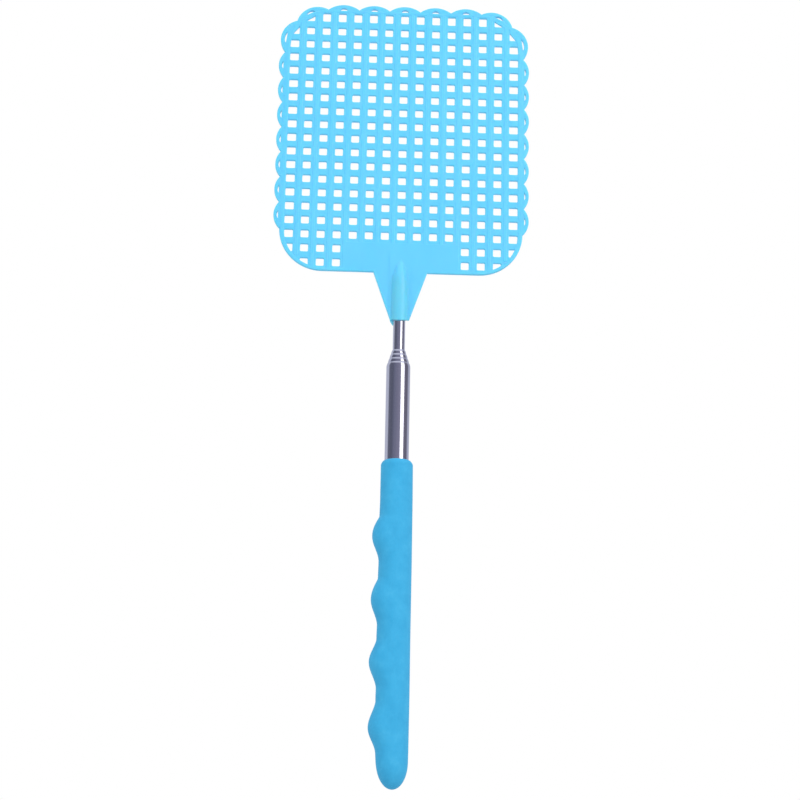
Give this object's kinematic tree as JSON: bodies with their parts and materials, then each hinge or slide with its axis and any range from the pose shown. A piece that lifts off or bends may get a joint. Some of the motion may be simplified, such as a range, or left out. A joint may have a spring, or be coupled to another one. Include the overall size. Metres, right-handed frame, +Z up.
{
  "type": "fly swatter",
  "caption": "Telescopic fly swatter: pierced plastic paddle head on a nested steel pole that draws out, with a soft finger grip at the butt.",
  "frame": {"origin": "on the pole's axis, half way up the grip sleeve, where the hand holds it", "axes": "+Z up along the pole from the grip to the head, -Y out of the head's ribbed front face, -X towards the grip's finger bumps"},
  "size_m": [0.0926, 0.0114, 0.2867],
  "materials": {
    "sky_blue_plastic": "moulded, semi-gloss",
    "blue_foam": "matte fine-celled foam",
    "polished_steel": "polished stainless steel",
    "shoe_brass": "plain rolled",
    "white_nylon": "moulded"
  },
  "bodies": {
    "handle": {"base_tube": "polished_steel", "base_tube_plug": "white_nylon", "grip_sleeve": "blue_foam"},
    "second_shoes": {"second_tube_left_shoe": "shoe_brass", "second_tube_right_shoe": "shoe_brass"},
    "second_section": {"second_tube": "polished_steel", "second_tube_plug": "white_nylon"},
    "third_shoes": {"third_tube_left_shoe": "shoe_brass", "third_tube_right_shoe": "shoe_brass"},
    "third_section": {"third_tube": "polished_steel", "third_tube_plug": "white_nylon"},
    "fourth_shoes": {"fourth_tube_left_shoe": "shoe_brass", "fourth_tube_right_shoe": "shoe_brass"},
    "fourth_section": {"fourth_tube": "polished_steel", "fourth_tube_plug": "white_nylon"},
    "tip_shoes": {"tip_tube_left_shoe": "shoe_brass", "tip_tube_right_shoe": "shoe_brass"},
    "tip_section": {"tip_tube": "polished_steel", "tip_tube_plug": "white_nylon", "swatter_head": "sky_blue_plastic"}
  },
  "joints": [
    {"name": "second_slide", "type": "slide", "parent": "handle", "child": "second_shoes", "axis": [0, 0, 1], "range_m": [0, 0.114]},
    {"name": "second_swivel", "type": "hinge", "parent": "second_shoes", "child": "second_section", "pos_m": [0, 0, 0], "axis": [0, 0, 1], "continuous": true},
    {"name": "third_slide", "type": "slide", "parent": "second_section", "child": "third_shoes", "axis": [0, 0, 1], "range_m": [0, 0.114]},
    {"name": "third_swivel", "type": "hinge", "parent": "third_shoes", "child": "third_section", "pos_m": [0, 0, 0], "axis": [0, 0, 1], "continuous": true},
    {"name": "fourth_slide", "type": "slide", "parent": "third_section", "child": "fourth_shoes", "axis": [0, 0, 1], "range_m": [0, 0.114]},
    {"name": "fourth_swivel", "type": "hinge", "parent": "fourth_shoes", "child": "fourth_section", "pos_m": [0, 0, 0], "axis": [0, 0, 1], "continuous": true},
    {"name": "tip_slide", "type": "slide", "parent": "fourth_section", "child": "tip_shoes", "axis": [0, 0, 1], "range_m": [0, 0.114]},
    {"name": "tip_swivel", "type": "hinge", "parent": "tip_shoes", "child": "tip_section", "pos_m": [0, 0, 0], "axis": [0, 0, 1], "continuous": true}
  ]
}
